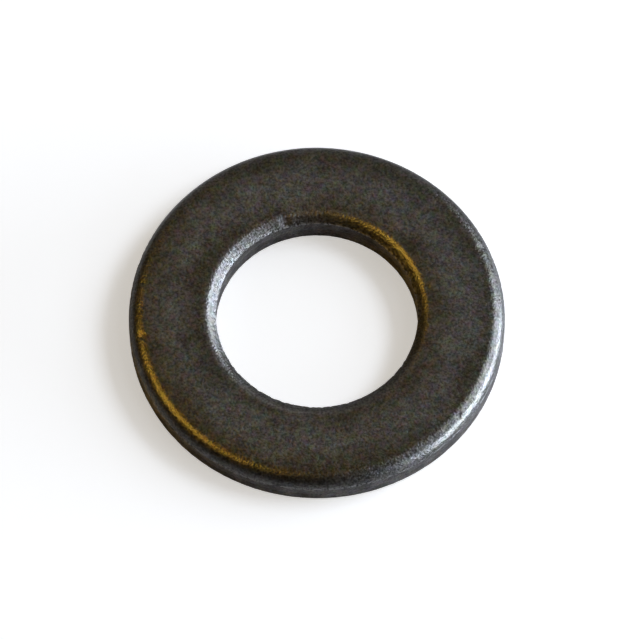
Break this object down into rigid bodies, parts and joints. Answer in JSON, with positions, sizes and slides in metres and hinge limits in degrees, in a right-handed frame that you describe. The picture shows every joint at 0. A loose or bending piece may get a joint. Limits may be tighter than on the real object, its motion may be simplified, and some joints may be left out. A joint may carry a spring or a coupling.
{
  "type": "flat washer",
  "caption": "Plain steel flat washer for a 10 mm bolt, with rounded upper edges and a straight bore, that spreads the load under a bolt head or nut.",
  "frame": {"origin": "on the axis of the hole, in the plane of the lower bearing face", "axes": "+Z along the bolt axis, from the lower face with its sharp edges towards the upper face with its rounded edges; the washer is round, so +X and +Y are any two directions in the lower face"},
  "size_m": [0.02, 0.02, 0.002],
  "materials": {
    "steel": "dark oiled self-colour steel, satin, with a fine grain and matt sheared walls"
  },
  "bodies": {
    "root": {"washer": "steel"}
  },
  "joints": []
}
